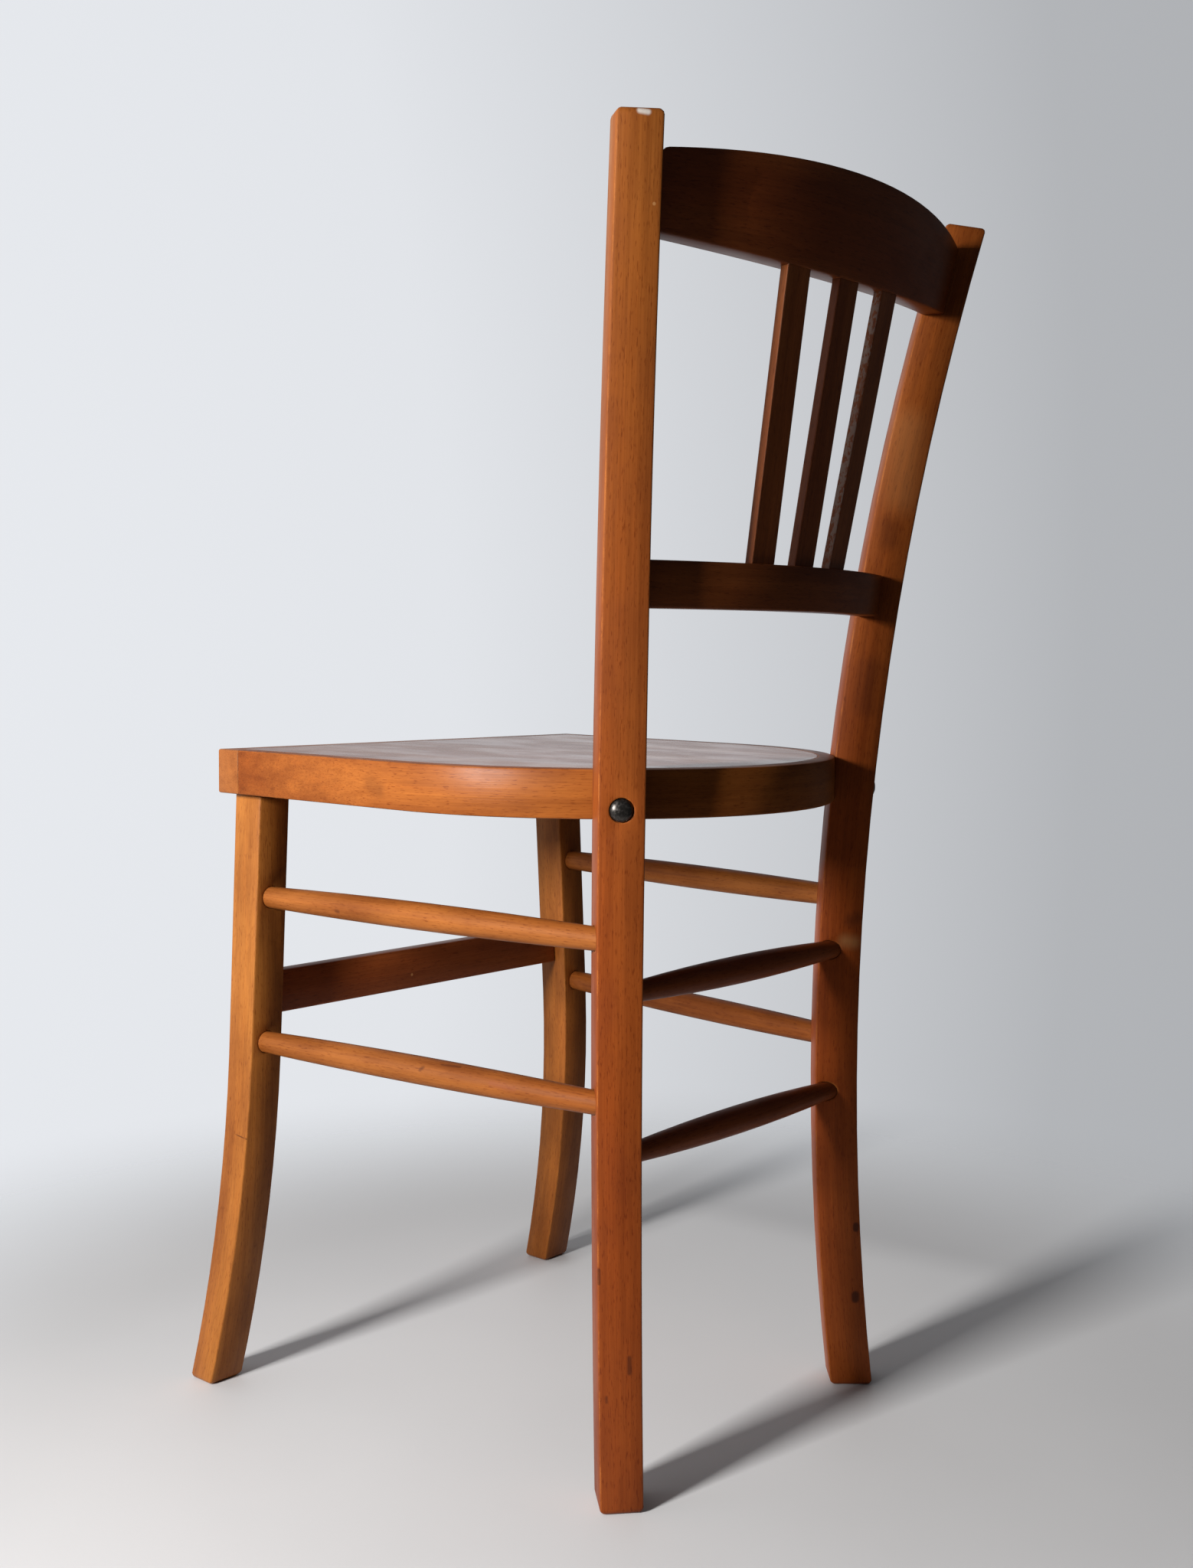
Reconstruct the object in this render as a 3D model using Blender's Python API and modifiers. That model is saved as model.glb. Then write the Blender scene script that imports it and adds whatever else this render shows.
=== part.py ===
"""Wooden cafe chair: a bent seat hoop on sabre front legs and two bent back posts.

Run with blender --background --python part.py, or from Blender's text editor.
Units are metres and +Z is up. The chair faces -Y, and the sitter's left is +X.
While it is modelled, the origin is under the centre of the seat's round back. At the
end everything moves together, so that the origin lies on the floor under the chair's middle.
"""

import math

import bmesh
import bpy
from mathutils import Matrix, Vector

# Fits
CLEARANCE = 0.0003
ARRIS = 0.0014
BOOLEAN_OVERRUN = 0.006

# Seat
SEAT_HEIGHT = 0.450
SEAT_RADIUS = 0.1756
SEAT_FRONT_REACH = 0.1807
SEAT_FRONT_FLARE = 0.0033
SEAT_FRONT_RISE = 0.0047
RIM_HEIGHT = 0.0305
RIM_THICKNESS = 0.022
FRONT_RAIL_THICKNESS = 0.022
PANEL_THICKNESS = 0.005
RIM_LIP = 0.012
HOOP_ARC_STEPS = 40

# Back posts: leg and upright in one piece, bent to one arc in the plane of the seat's radius
POST_HEIGHT = 0.814
POST_TOP_SLANT = 0.0038
POST_ANGLE = math.radians(48.5)
POST_BEND_RADIUS = 2.025
POST_BEND_HEIGHT = 0.230
POST_DEPTH = 0.0296
POST_TOP_DEPTH = 0.028
POST_FOOT_WIDTH = 0.0267
POST_SEAT_WIDTH = 0.0287
POST_TOP_WIDTH = 0.0262
POST_HOUSING_DEPTH = 0.0018
POST_TOP_ROUND = 0.0032
POST_STATIONS = 22

# Front legs: straight above, sabre curve below, splayed to the side
FRONT_LEG_INSET = 0.0146
FRONT_LEG_WIDTH = 0.0256
FRONT_LEG_DEPTH = 0.028
FRONT_FOOT_WIDTH = 0.0275
FRONT_FOOT_DEPTH = 0.0236
FRONT_LEG_SPLAY = 0.0224
SABRE_RADIUS = 0.900
SABRE_HEIGHT = 0.248
FRONT_LEG_STATIONS = 16
LEG_TENON_WIDTH = 0.016
LEG_TENON_DEPTH = 0.013
LEG_TENON_LENGTH = 0.020
FOOT_CHAMFER = 0.0022

# Round stretchers, thicker in the middle
SIDE_ROD_END_DIAMETER = 0.015
BACK_ROD_END_DIAMETER = 0.013
ROD_MIDDLE_DIAMETER = 0.0185
ROD_HOLE_DEPTH = 0.009
ROD_SIDES = 20
ROD_STATIONS = 8
SIDE_ROD_HEIGHTS = {"upper": (0.3508, 0.3482), "lower": (0.2492, 0.2470)}
BACK_ROD_HEIGHTS = {"upper": 0.3135, "lower": 0.2130}
BACK_ROD_FACE_OFFSET = -0.0084

# Front stretcher: a board on edge
STRETCHER_CENTRE_HEIGHT = 0.281
STRETCHER_BOARD_HEIGHT = 0.0305
STRETCHER_BOARD_THICKNESS = 0.011
STRETCHER_SETBACK = 0.0055
STRETCHER_TENON_HEIGHT = 0.022
STRETCHER_TENON_THICKNESS = 0.007
STRETCHER_TENON_LENGTH = 0.012

# Crest rail and lower back rail: boards bent to an arc, leaning with the posts
CREST_DROP = 0.0181
CREST_END_HEIGHT = 0.0436
CREST_TOP_ARCH = 0.0099
CREST_BOTTOM_SAG = 0.0061
CREST_BOW = 0.0288
CREST_THICKNESS = 0.0145
CREST_FACE_OFFSET = 0.0007
CREST_TENON_HEIGHT = 0.030
LOWER_RAIL_BOTTOM_HEIGHT = 0.5463
LOWER_RAIL_HEIGHT = 0.028
LOWER_RAIL_BOW = 0.0257
LOWER_RAIL_THICKNESS = 0.014
LOWER_RAIL_FACE_OFFSET = 0.0006
LOWER_RAIL_TENON_HEIGHT = 0.018
RAIL_TENON_THICKNESS = 0.007
RAIL_TENON_LENGTH = 0.014
RAIL_EXTRA_LEAN = 0.024
CREST_CORNER_RADIUS = 0.0055
RAIL_STATIONS = 24
REACH_HALVINGS = 30

# Slats between the two rails
SLAT_WIDTH = 0.0197
SLAT_THICKNESS = 0.0058
SLAT_TOP_SPACING = 0.0492
SLAT_BOTTOM_SPACING = 0.0405
SLAT_TOP_INSET = 0.0014
SLAT_BOTTOM_INSET = 0.0044
SLAT_HOUSING = 0.009

# Seat bolts, washers and nuts
BOLT_DROP = 0.0224
BOLT_HEAD_DIAMETER = 0.0145
BOLT_HEAD_RISE = 0.0038
BOLT_SHANK_DIAMETER = 0.006
WASHER_DIAMETER = 0.013
WASHER_THICKNESS = 0.0012
NUT_ACROSS_FLATS = 0.010
NUT_HEIGHT = 0.005
BOLT_END_BEYOND_NUT = 0.002
METAL_SIDES = 24
SCREW_SIDES = 16
DOWEL_SIDES = 16

# Dowels between hoop ends and front rail
DOWEL_DIAMETER = 0.006
DOWEL_IN_HOOP = 0.020
DOWEL_IN_RAIL = 0.014
DOWEL_DROPS = {"upper": 0.0115, "lower": 0.0235}

# Corner blocks behind the front rail and their screws
BLOCK_LEG_LENGTH = 0.044
BLOCK_HEIGHT = 0.022
SCREW_SHANK_DIAMETER = 0.0035
SCREW_HEAD_DIAMETER = 0.007
SCREW_HEAD_HEIGHT = 0.003
SCREW_GRIP = 0.011
SCREW_IN_FRAME = 0.012
SCREW_DISTANCE_FROM_CORNER = 0.025
SCREW_HEIGHT_STEP = 0.010

Z_AXIS = Vector((0, 0, 1))
SIDES = {"left": 1, "right": -1}


def start_scene():
    for obj in list(bpy.data.objects):
        bpy.data.objects.remove(obj, do_unlink=True)
    collections = {}
    for name in ("wooden_chair", "cutters"):
        collections[name] = bpy.data.collections.new(name)
        bpy.context.scene.collection.children.link(collections[name])
    collections["cutters"].hide_render = True
    return collections


COLLECTIONS = start_scene()


def principled(name, colour, roughness, metallic=0.0):
    material = bpy.data.materials.new(name)
    material.use_nodes = True
    shader = material.node_tree.nodes["Principled BSDF"]
    shader.inputs["Base Color"].default_value = (*colour, 1.0)
    shader.inputs["Roughness"].default_value = roughness
    shader.inputs["Metallic"].default_value = metallic
    return material


BEECH = principled("varnished_beech", (0.42, 0.16, 0.045), 0.35)
RAIL_BEECH = principled("rail_beech", (0.36, 0.13, 0.04), 0.38)
ROD_BEECH = principled("rod_beech", (0.40, 0.15, 0.042), 0.36)
PLYWOOD = principled("seat_plywood", (0.40, 0.22, 0.12), 0.30)
RAW_WOOD = principled("unfinished_beech", (0.55, 0.36, 0.20), 0.60)
BLACK_STEEL = principled("blackened_steel", (0.03, 0.028, 0.026), 0.35, 0.9)
ZINC_STEEL = principled("zinc_steel", (0.55, 0.55, 0.56), 0.35, 1.0)


# Mesh helpers


def finish_mesh(name, bm, material):
    """Makes one visible piece from bm, smooth shaded where it is round."""
    bmesh.ops.recalc_face_normals(bm, faces=bm.faces)
    mesh = bpy.data.meshes.new(name)
    bm.to_mesh(mesh)
    bm.free()
    obj = bpy.data.objects.new(name, mesh)
    COLLECTIONS["wooden_chair"].objects.link(obj)
    mesh.materials.append(material)
    mesh.shade_smooth()
    mesh.set_sharp_from_angle(angle=math.radians(35))
    return obj


def finish_cutter(name, bm):
    bmesh.ops.recalc_face_normals(bm, faces=bm.faces)
    mesh = bpy.data.meshes.new(name)
    bm.to_mesh(mesh)
    bm.free()
    obj = bpy.data.objects.new(name, mesh)
    COLLECTIONS["cutters"].objects.link(obj)
    obj.hide_render = True
    obj.display_type = "WIRE"
    return obj


def ease_arrises(obj, joint_y=None):
    """Rounds the long edges, but none that lie in a glued joint at joint_y."""
    mesh = obj.data
    bm = bmesh.new()
    bm.from_mesh(mesh)
    bm.normal_update()
    weight = bm.edges.layers.float.new("bevel_weight_edge")
    for edge in bm.edges:
        in_joint = joint_y is not None and all(abs(v.co.y - joint_y) < CLEARANCE / 2 for v in edge.verts)
        if edge.calc_face_angle() > math.radians(35) and not in_joint:
            edge[weight] = 1.0
    bm.to_mesh(mesh)
    bm.free()
    bevel = obj.modifiers.new("eased_arrises", "BEVEL")
    bevel.width = ARRIS
    bevel.segments = 2
    bevel.limit_method = "WEIGHT"


def boolean(obj, other, operation):
    modifier = obj.modifiers.new(f"{operation.lower()}_{other.name}", "BOOLEAN")
    modifier.operation = operation
    modifier.object = other
    modifier.solver = "EXACT"


def cut(obj, *cutters):
    for cutter in cutters:
        boolean(obj, cutter, "DIFFERENCE")


def basis(x_axis, y_axis, z_axis, centre):
    """The matrix that takes a local point to its place along three unit axes."""
    matrix = Matrix((x_axis, y_axis, z_axis)).transposed().to_4x4()
    matrix.translation = centre
    return matrix


def box(size, matrix):
    bm = bmesh.new()
    bmesh.ops.create_cube(bm, size=1.0)
    bmesh.ops.scale(bm, vec=size, verts=bm.verts)
    bmesh.ops.transform(bm, matrix=matrix, verts=bm.verts)
    return bm


def along(direction, start):
    """The matrix of a local +Z that runs from start along direction."""
    matrix = direction.to_track_quat("Z", "Y").to_matrix().to_4x4()
    matrix.translation = start
    return matrix


def round_bar(diameter, start, direction, length, sides=ROD_SIDES):
    bm = bmesh.new()
    bmesh.ops.create_cone(
        bm, cap_ends=True, segments=sides, radius1=diameter / 2, radius2=diameter / 2, depth=length
    )
    bmesh.ops.translate(bm, vec=(0, 0, length / 2), verts=bm.verts)
    bmesh.ops.transform(bm, matrix=along(direction, start), verts=bm.verts)
    return bm


def bore_diameter(diameter, sides):
    """The bore whose flats clear a round piece of this diameter."""
    return (diameter + 2 * CLEARANCE) / math.cos(math.pi / sides)


def bent_bar(stations, place):
    """A square bar cut across at even steps, each corner put where place(x, y, s) says.

    x and y are -0.5 or 0.5, and s runs from 0 to 1 along the bar.
    """
    bm = bmesh.new()
    bmesh.ops.create_cube(bm, size=1.0)
    bmesh.ops.translate(bm, vec=(0, 0, 0.5), verts=bm.verts)
    for step in range(1, stations):
        everything = bm.verts[:] + bm.edges[:] + bm.faces[:]
        bmesh.ops.bisect_plane(bm, geom=everything, plane_co=(0, 0, step / stations), plane_no=Z_AXIS)
    for vert in bm.verts:
        vert.co = place(*vert.co)
    bmesh.ops.recalc_face_normals(bm, faces=bm.faces)
    return bm


def turned(name, profile, matrix, material, sides=METAL_SIDES):
    """A turned piece from (radius, height) pairs that run from the top down its outer side."""
    mesh = bpy.data.meshes.new(name)
    points = [(radius, 0.0, height) for radius, height in profile]
    mesh.from_pydata(points, [(i, i + 1) for i in range(len(points) - 1)], [])
    obj = bpy.data.objects.new(name, mesh)
    COLLECTIONS["wooden_chair"].objects.link(obj)
    obj.matrix_world = matrix
    mesh.materials.append(material)
    screw = obj.modifiers.new("turned", "SCREW")
    screw.steps = sides
    screw.render_steps = sides
    screw.use_merge_vertices = True
    screw.merge_threshold = 0.00001
    screw.use_smooth_shade = True
    return obj


# Seat outline: a half circle behind, straight flared sides and a straight front


def side_half_width(y, inset):
    """Half width of the outline at y, in front of the seat's round back."""
    return SEAT_RADIUS - SEAT_FRONT_FLARE * y / SEAT_FRONT_REACH - inset


def round_back(inset, steps=HOOP_ARC_STEPS):
    """Points of the round back, from the left side round to the right side."""
    radius = SEAT_RADIUS - inset
    angles = [math.pi * i / steps for i in range(steps + 1)]
    return [(radius * math.cos(a), radius * math.sin(a)) for a in angles]


def seat_outline(inset, front):
    """The whole outline, drawn in by inset and closed by a straight edge at y = front."""
    half = side_half_width(front, inset)
    return [(half, front)] + round_back(inset) + [(-half, front)]


def slab(outline, low, high):
    bm = bmesh.new()
    face = bm.faces.new([bm.verts.new((x, y, low)) for x, y in outline])
    upper = bmesh.ops.extrude_face_region(bm, geom=[face])["geom"]
    raised = [item for item in upper if isinstance(item, bmesh.types.BMVert)]
    bmesh.ops.translate(bm, vec=(0, 0, high - low), verts=raised)
    return bm


RIM_BOTTOM = SEAT_HEIGHT - RIM_HEIGHT
LEDGE_HEIGHT = SEAT_HEIGHT - PANEL_THICKNESS - CLEARANCE
BOLT_HEIGHT = SEAT_HEIGHT - BOLT_DROP
FRONT_EDGE_Y = -SEAT_FRONT_REACH
FRONT_LEG_X = SEAT_RADIUS + SEAT_FRONT_FLARE - FRONT_LEG_INSET - FRONT_LEG_WIDTH / 2
FRONT_RAIL_BACK_Y = FRONT_EDGE_Y + FRONT_RAIL_THICKNESS
HOOP_END_Y = FRONT_RAIL_BACK_Y + CLEARANCE
BLOCK_BOTTOM = RIM_BOTTOM + 2 * CLEARANCE
SEAT_TIP_Y = SEAT_RADIUS * math.sin(POST_ANGLE)
SEAT_TIP = math.atan2(SEAT_FRONT_RISE, SEAT_TIP_Y + SEAT_FRONT_REACH)


def seat_rise(y):
    """How much higher the tipped seat is at y than beside the back posts."""
    return (SEAT_TIP_Y - y) * math.tan(SEAT_TIP)


FRONT_LEG_TOP = RIM_BOTTOM + seat_rise(FRONT_EDGE_Y + FRONT_LEG_DEPTH / 2)


# Back posts


def post_out(side):
    """The level direction in which a post faces, away from the seat."""
    return Vector((side * math.cos(POST_ANGLE), math.sin(POST_ANGLE), 0))


def post_across(side):
    """The level direction across a post, towards the other post."""
    return Vector((-side * math.sin(POST_ANGLE), math.cos(POST_ANGLE), 0))


def post_lean(z):
    """How far a post's centre line lies outside its place at the seat, for its bend."""
    rim_middle = SEAT_HEIGHT - RIM_HEIGHT / 2
    at_seat = (rim_middle - POST_BEND_HEIGHT) ** 2
    return ((z - POST_BEND_HEIGHT) ** 2 - at_seat) / (2 * POST_BEND_RADIUS)


def post_slope(z):
    return (z - POST_BEND_HEIGHT) / POST_BEND_RADIUS


def post_centre(side, z):
    reach = SEAT_RADIUS - POST_HOUSING_DEPTH + POST_DEPTH / 2 + post_lean(z)
    return post_out(side) * reach + Z_AXIS * z


def post_width(z):
    if z < SEAT_HEIGHT:
        return POST_FOOT_WIDTH + (POST_SEAT_WIDTH - POST_FOOT_WIDTH) * z / SEAT_HEIGHT
    share = (z - SEAT_HEIGHT) / (POST_HEIGHT - SEAT_HEIGHT)
    return POST_SEAT_WIDTH + (POST_TOP_WIDTH - POST_SEAT_WIDTH) * share


def post_depth(z):
    share = max(0.0, (z - SEAT_HEIGHT) / (POST_HEIGHT - SEAT_HEIGHT))
    return POST_DEPTH + (POST_TOP_DEPTH - POST_DEPTH) * share


def post_face(side, z, towards_middle, offset=0.0):
    """A point of a post's side face at height z, offset outwards from the middle of the face."""
    sign = 1 if towards_middle else -1
    face = post_across(side) * (sign * post_width(z) / 2)
    return post_centre(side, z) + face + post_out(side) * offset


def post_mesh(side):
    out = post_out(side)
    across = post_across(side)
    plain_top = POST_HEIGHT - POST_TOP_SLANT - POST_TOP_ROUND

    def place(x, y, s):
        z = s * (POST_HEIGHT - (y + 0.5) * POST_TOP_SLANT)
        return post_centre(side, z) + across * (x * post_width(z)) + out * (y * post_depth(z))

    bm = bent_bar(POST_STATIONS, place)
    top_edges = [edge for edge in bm.edges if min(v.co.z for v in edge.verts) > plain_top]
    bmesh.ops.bevel(
        bm, geom=top_edges, offset=POST_TOP_ROUND, segments=3, profile=0.5, affect="EDGES"
    )
    return bm


# Front legs


def leg_centre(side, z):
    splay = FRONT_LEG_SPLAY * (1 - z / FRONT_LEG_TOP)
    kick = max(0.0, SABRE_HEIGHT - z) ** 2 / (2 * SABRE_RADIUS)
    y = FRONT_EDGE_Y + FRONT_LEG_DEPTH / 2 - kick
    return Vector((side * (FRONT_LEG_X + splay), y, z))


def leg_section(z):
    share = z / FRONT_LEG_TOP
    width = FRONT_FOOT_WIDTH + (FRONT_LEG_WIDTH - FRONT_FOOT_WIDTH) * share
    depth = FRONT_FOOT_DEPTH + (FRONT_LEG_DEPTH - FRONT_FOOT_DEPTH) * share
    return width, depth


def leg_back(side, z):
    """The middle of a front leg's back face at height z."""
    return leg_centre(side, z) + Vector((0, leg_section(z)[1] / 2, 0))


def leg_inner_x(z):
    """How far from the middle plane the inner faces of the front legs are at height z."""
    return leg_centre(1, z).x - leg_section(z)[0] / 2


def leg_mesh(side):
    def place(x, y, s):
        top = FRONT_LEG_TOP - y * FRONT_LEG_DEPTH * math.tan(SEAT_TIP) - CLEARANCE
        z = s * top
        width, depth = leg_section(z)
        return leg_centre(side, z) + Vector((x * width, y * depth, 0))

    return bent_bar(FRONT_LEG_STATIONS, place)


def chamfer_foot(bm):
    feet = [edge for edge in bm.edges if max(v.co.z for v in edge.verts) < CLEARANCE]
    bmesh.ops.bevel(bm, geom=feet, offset=FOOT_CHAMFER, segments=1, affect="EDGES")


# Rails of the back


def rail_arc(x, half_span, bow):
    """How far behind its ends a rail's arc runs at x, and its slope there."""
    radius = (half_span**2 + bow**2) / (2 * bow)
    root = math.sqrt(radius**2 - x**2)
    return root - (radius - bow), -x / root


class Rail:
    """A bent board between the posts, given by its ends, its heights and its bow."""

    def __init__(self, name, bottom, height, arch, sag, bow, thickness, face_offset, tenon_height):
        self.name = name
        self.bottom = bottom
        self.height = height
        self.arch = arch
        self.sag = sag
        self.bow = bow
        self.thickness = thickness
        self.face_offset = face_offset
        self.tenon_height = tenon_height
        self.middle = bottom + height / 2
        self.lean = post_slope(self.middle) * math.sin(POST_ANGLE) + RAIL_EXTRA_LEAN
        self.end = post_face(1, self.middle, True, face_offset)

    def point(self, x, z, inward):
        """The point inward of the rail's back face, at distance x from the middle plane."""
        rise, slope = rail_arc(x, self.end.x, self.bow)
        normal = Vector((-slope, 1, 0)).normalized()
        y = self.end.y + rise + (z - self.middle) * self.lean
        return Vector((x, y, z)) - normal * inward

    def top_at(self, x):
        return self.bottom + self.height + self.arch * (1 - (x / self.end.x) ** 2)

    def bottom_at(self, x):
        return self.bottom - self.sag * (1 - (x / self.end.x) ** 2)

    def edge_point(self, x, upper, inward):
        z = self.top_at(x) if upper else self.bottom_at(x)
        return self.point(x, z, inward)

    def reach(self, upper, inward):
        """How far from the middle plane an edge of the board meets the posts' faces."""
        face = post_face(1, self.middle, True) + post_across(1) * CLEARANCE
        near, far = 0.0, self.end.x + self.thickness
        for _ in range(REACH_HALVINGS):
            x = (near + far) / 2
            if (self.edge_point(x, upper, inward) - face).dot(post_across(1)) > 0:
                near = x
            else:
                far = x
        return near

    def mesh(self):
        def place(x, y, s):
            inward = (0.5 - x) * self.thickness
            return self.edge_point((2 * s - 1) * self.reach(y > 0, inward), y > 0, inward)

        return bent_bar(RAIL_STATIONS, place)

    def round_top_corners(self, bm, radius):
        """Rounds the two upper end corners, seen from behind the chair."""
        chosen = []
        for side in SIDES.values():
            face = post_face(side, self.middle, True) + post_across(side) * CLEARANCE
            for edge in bm.edges:
                at_end = all(abs((v.co - face).dot(post_across(side))) < CLEARANCE / 3 for v in edge.verts)
                if at_end and min(v.co.z for v in edge.verts) > self.middle:
                    chosen.append(edge)
        bmesh.ops.bevel(bm, geom=chosen, offset=radius, segments=4, profile=0.5, affect="EDGES")

    def tenon(self, side, grow=0.0, overrun=0.0):
        """The tenon at one end, or with grow and overrun the cutter of its mortise."""
        inner = -post_across(side)
        up = (Z_AXIS + post_out(side) * post_slope(self.middle)).normalized()
        through = up.cross(inner)
        face = post_face(side, self.middle, True, self.face_offset)
        root = face - post_out(side) * (self.thickness / 2)
        shallow = -CLEARANCE - self.thickness / 2 if grow == 0.0 else -overrun
        deep = RAIL_TENON_LENGTH + grow
        size = (deep - shallow, self.tenon_height + 2 * grow, RAIL_TENON_THICKNESS + 2 * grow)
        return box(size, basis(inner, up, through, root + inner * (deep + shallow) / 2))


CREST = Rail(
    "crest_rail",
    POST_HEIGHT - CREST_DROP - CREST_END_HEIGHT,
    CREST_END_HEIGHT,
    CREST_TOP_ARCH,
    CREST_BOTTOM_SAG,
    CREST_BOW,
    CREST_THICKNESS,
    CREST_FACE_OFFSET,
    CREST_TENON_HEIGHT,
)
LOWER_RAIL = Rail(
    "lower_back_rail",
    LOWER_RAIL_BOTTOM_HEIGHT,
    LOWER_RAIL_HEIGHT,
    0.0,
    0.0,
    LOWER_RAIL_BOW,
    LOWER_RAIL_THICKNESS,
    LOWER_RAIL_FACE_OFFSET,
    LOWER_RAIL_TENON_HEIGHT,
)


def slat_ends(place):
    """The points where a slat's centre line meets the lower rail's top and the crest's bottom."""
    low_x = place * SLAT_BOTTOM_SPACING
    high_x = place * SLAT_TOP_SPACING
    half = SLAT_THICKNESS / 2
    low = LOWER_RAIL.point(low_x, LOWER_RAIL.top_at(low_x), SLAT_BOTTOM_INSET + half)
    high = CREST.point(high_x, CREST.bottom_at(high_x), SLAT_TOP_INSET + half)
    return low, high


def slat_box(place, grow=0.0):
    low, high = slat_ends(place)
    up = (high - low).normalized()
    slope = rail_arc(place * SLAT_TOP_SPACING, CREST.end.x, CREST.bow)[1]
    across = Vector((1, slope, 0))
    across = (across - up * across.dot(up)).normalized()
    length = (high - low).length + 2 * (SLAT_HOUSING + grow)
    size = (SLAT_WIDTH + 2 * grow, SLAT_THICKNESS + 2 * grow, length)
    return box(size, basis(across, up.cross(across), up, (low + high) / 2))


# Round stretchers


def side_rod_ends(side, heights):
    at_leg, at_post = heights
    return leg_back(side, at_leg), post_face(side, at_post, False)


def back_rod_ends(z):
    return post_face(1, z, True, BACK_ROD_FACE_OFFSET), post_face(-1, z, True, BACK_ROD_FACE_OFFSET)


def rod(name, ends, end_diameter):
    start, end = ends
    direction = (end - start).normalized()
    span = (end - start).length
    reach = span / 2 + ROD_HOLE_DEPTH - CLEARANCE
    profile = [(0.0, reach), (end_diameter / 2, reach)]
    for step in range(ROD_STATIONS + 1):
        share = step / ROD_STATIONS
        swell = (ROD_MIDDLE_DIAMETER - end_diameter) * (1 - (2 * share - 1) ** 2)
        profile.append(((end_diameter + swell) / 2, span * (0.5 - share)))
    profile += [(end_diameter / 2, -reach), (0.0, -reach)]
    return turned(name, profile, along(direction, (start + end) / 2), ROD_BEECH, ROD_SIDES)


def rod_hole(name, mouth, inward, rod_diameter):
    """A rod's hole. The rod meets the post aslant, so the cutter starts well outside it."""
    start = mouth - inward * rod_diameter
    diameter = bore_diameter(rod_diameter, ROD_SIDES)
    bore = round_bar(diameter, start, inward, rod_diameter + ROD_HOLE_DEPTH)
    return finish_cutter(name, bore)


# Front stretcher


def stretcher_centre_y():
    leg = leg_centre(1, STRETCHER_CENTRE_HEIGHT).y
    front = leg - leg_section(STRETCHER_CENTRE_HEIGHT)[1] / 2
    return front + STRETCHER_SETBACK + STRETCHER_BOARD_THICKNESS / 2


def stretcher_mesh():
    y = stretcher_centre_y()

    def place(x, up, s):
        z = STRETCHER_CENTRE_HEIGHT + up * STRETCHER_BOARD_HEIGHT
        half = leg_inner_x(z) - CLEARANCE
        return Vector(((2 * s - 1) * half, y + x * STRETCHER_BOARD_THICKNESS, z))

    return bent_bar(2, place)


def stretcher_tenon(side, grow=0.0, overrun=0.0):
    mouth = leg_inner_x(STRETCHER_CENTRE_HEIGHT)
    start = mouth - (overrun if overrun else 3 * STRETCHER_TENON_THICKNESS)
    end = mouth + STRETCHER_TENON_LENGTH + grow
    centre = Vector((side * (start + end) / 2, stretcher_centre_y(), STRETCHER_CENTRE_HEIGHT))
    height = STRETCHER_TENON_HEIGHT + 2 * grow
    size = (end - start, STRETCHER_TENON_THICKNESS + 2 * grow, height)
    return box(size, Matrix.Translation(centre))


def leg_tenon(side, grow=0.0):
    """The tenon on a front leg's top, or with grow the cutter of its mortise in the front rail."""
    low = FRONT_LEG_TOP - (BOOLEAN_OVERRUN if grow else 2 * LEG_TENON_DEPTH)
    high = FRONT_LEG_TOP + LEG_TENON_LENGTH + grow
    y = FRONT_EDGE_Y + FRONT_RAIL_THICKNESS / 2
    centre = Vector((side * FRONT_LEG_X, y, (low + high) / 2))
    size = (LEG_TENON_WIDTH + 2 * grow, LEG_TENON_DEPTH + 2 * grow, high - low)
    return box(size, Matrix.Translation(centre))


# Metal pieces

WASHER_SAG = (WASHER_DIAMETER / 2) ** 2 / (2 * (SEAT_RADIUS - RIM_THICKNESS))


def bolt_frame(side):
    """A matrix whose origin is on the post's outer face at the bolt, with +Z outward."""
    reach = SEAT_RADIUS - POST_HOUSING_DEPTH + post_lean(BOLT_HEIGHT) + POST_DEPTH
    return along(post_out(side), post_out(side) * reach + Z_AXIS * BOLT_HEIGHT)


def washer_reach():
    """How far from the seat's centre the outer side of the washer lies."""
    return SEAT_RADIUS - RIM_THICKNESS - WASHER_SAG - 2 * CLEARANCE


def bolt_length():
    face = SEAT_RADIUS - POST_HOUSING_DEPTH + post_lean(BOLT_HEIGHT) + POST_DEPTH
    return face - washer_reach() + WASHER_THICKNESS + CLEARANCE + NUT_HEIGHT + BOLT_END_BEYOND_NUT


def head_seat():
    """The post leans and the bolt is level, so the upper side of its head is let into the wood."""
    return -BOLT_HEAD_DIAMETER / 2 * post_slope(BOLT_HEIGHT)


def seat_bolt(name, side):
    lift = head_seat()
    radius = BOLT_HEAD_DIAMETER / 2
    profile = [(0.0, lift + BOLT_HEAD_RISE)]
    for angle in (25, 50, 70, 90):
        turn = math.radians(angle)
        profile.append((radius * math.sin(turn), lift + BOLT_HEAD_RISE * math.cos(turn)))
    profile.append((BOLT_SHANK_DIAMETER / 2, lift))
    profile.append((BOLT_SHANK_DIAMETER / 2, -bolt_length()))
    profile.append((0.0, -bolt_length()))
    return turned(name, profile, bolt_frame(side), BLACK_STEEL)


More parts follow.
